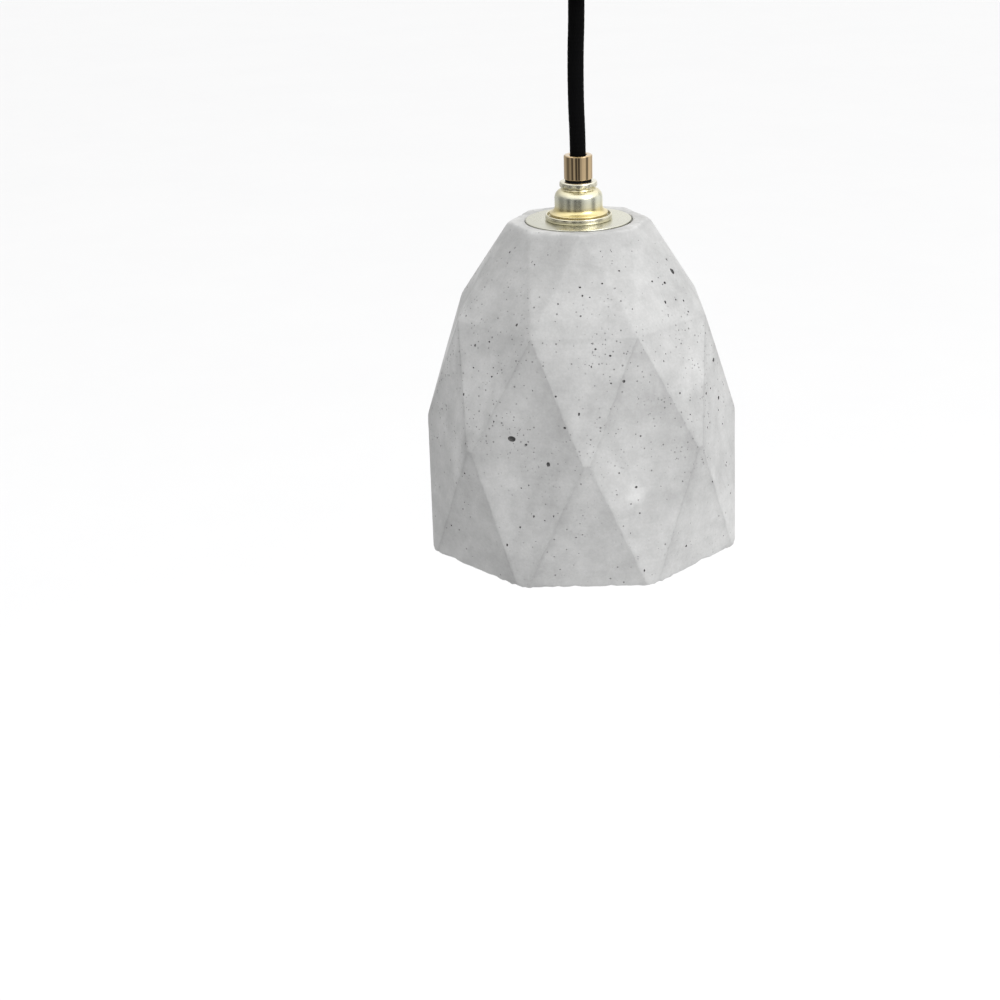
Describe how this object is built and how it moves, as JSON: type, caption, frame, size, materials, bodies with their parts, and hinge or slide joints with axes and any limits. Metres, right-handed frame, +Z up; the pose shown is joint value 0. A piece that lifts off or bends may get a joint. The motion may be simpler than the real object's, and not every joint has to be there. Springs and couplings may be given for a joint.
{
  "type": "pendant ceiling light",
  "caption": "Faceted cast-concrete pendant light: small metal lampholder with a globe bulb, textile cord, brass cord grips, and a flat round metal ceiling canopy.",
  "frame": {"origin": "on the ceiling plane, midway between the bracket's two screw holes, straight above the lamp's axis", "axes": "+Z up into the ceiling, +X along the bracket's screw holes, -Y towards the room in front of a belly corner of the shade"},
  "size_m": [0.143, 0.143, 0.2844],
  "materials": {
    "concrete": "matt cast concrete, fine air pores",
    "yellow_plated": "pale yellow-gold plated, glossy",
    "plate_metal": "lathe-turned satin, pale gold tint",
    "polished_brass": "polished bronze-brass",
    "black_nylon": "moulded",
    "black_textile": "braided",
    "porcelain": "glazed",
    "contact_brass": "bright",
    "black_rubber": "smooth",
    "brown_pvc": "extruded",
    "blue_pvc": "extruded",
    "earth_pvc": "extruded, green and yellow",
    "clear_glass": "clear",
    "nickel_plate": "nickel plated",
    "black_vitrite": "glassy",
    "filament_coat": "phosphor coated",
    "zinc_steel": "zinc plated",
    "white_polyamide": "moulded"
  },
  "bodies": {
    "ceiling": {"ceiling_bracket": "zinc_steel", "canopy": "yellow_plated", "canopy_screws": "polished_brass", "outlet_insert": "black_nylon", "outlet_locknut": "zinc_steel", "cord_tail": "black_textile", "terminal_block": "white_polyamide", "terminal_clamps": "contact_brass", "terminal_screws": "zinc_steel", "supply_line_wire": "brown_pvc", "supply_neutral_wire": "blue_pvc", "supply_earth_wire": "earth_pvc"},
    "cord_outlet": {"outlet_nut": "polished_brass"},
    "lamp": {"cord": "black_textile", "grip_insert": "black_nylon", "grip_nut": "polished_brass", "holder_cap": "yellow_plated", "holder_barrel": "yellow_plated", "insulator": "porcelain", "contact_shell": "contact_brass", "centre_contact": "contact_brass", "line_terminal": "contact_brass", "neutral_terminal": "contact_brass", "earth_terminal": "contact_brass", "holder_screws": "zinc_steel", "line_wire": "brown_pvc", "neutral_wire": "blue_pvc", "earth_wire": "earth_pvc"},
    "shade": {"shade": "concrete", "top_plate": "plate_metal", "shade_gasket": "black_rubber"},
    "shade_ring": {"shade_ring": "yellow_plated"},
    "bulb_foot": {"bulb_contact": "nickel_plate", "bulb_insulator": "black_vitrite"},
    "bulb": {"bulb_cap": "nickel_plate", "bulb_glass": "clear_glass", "bulb_stem": "clear_glass", "bulb_filaments": "filament_coat"}
  },
  "joints": [
    {"name": "cord_turn", "type": "hinge", "parent": "ceiling", "child": "cord_outlet", "pos_m": [0, 0, -0.0414], "axis": [0, 0, 1], "range_deg": [-180, 180]},
    {"name": "lamp_swing", "type": "hinge", "parent": "cord_outlet", "child": "lamp", "pos_m": [0, 0, -0.0414], "axis": [0, 1, 0], "range_deg": [-20, 20]},
    {"name": "shade_drop", "type": "slide", "parent": "lamp", "child": "shade", "axis": [0, 0, -1], "range_m": [0, 0.006]},
    {"name": "ring_turn", "type": "hinge", "parent": "shade", "child": "shade_ring", "pos_m": [0, 0, -0.1524], "axis": [0, 0, -1], "range_deg": [0, 1081]},
    {"name": "bulb_drop", "type": "slide", "parent": "lamp", "child": "bulb_foot", "axis": [0, 0, -1], "range_m": [0, 0.0112]},
    {"name": "bulb_turn", "type": "hinge", "parent": "bulb_foot", "child": "bulb", "pos_m": [0, 0, -0.1644], "axis": [0, 0, -1], "range_deg": [0, 1430]}
  ],
  "couplings": [
    {"joint": "ring_turn", "follows": "shade_drop", "rad_per_m": 3141.6},
    {"joint": "bulb_turn", "follows": "bulb_drop", "rad_per_m": 2226.5}
  ]
}
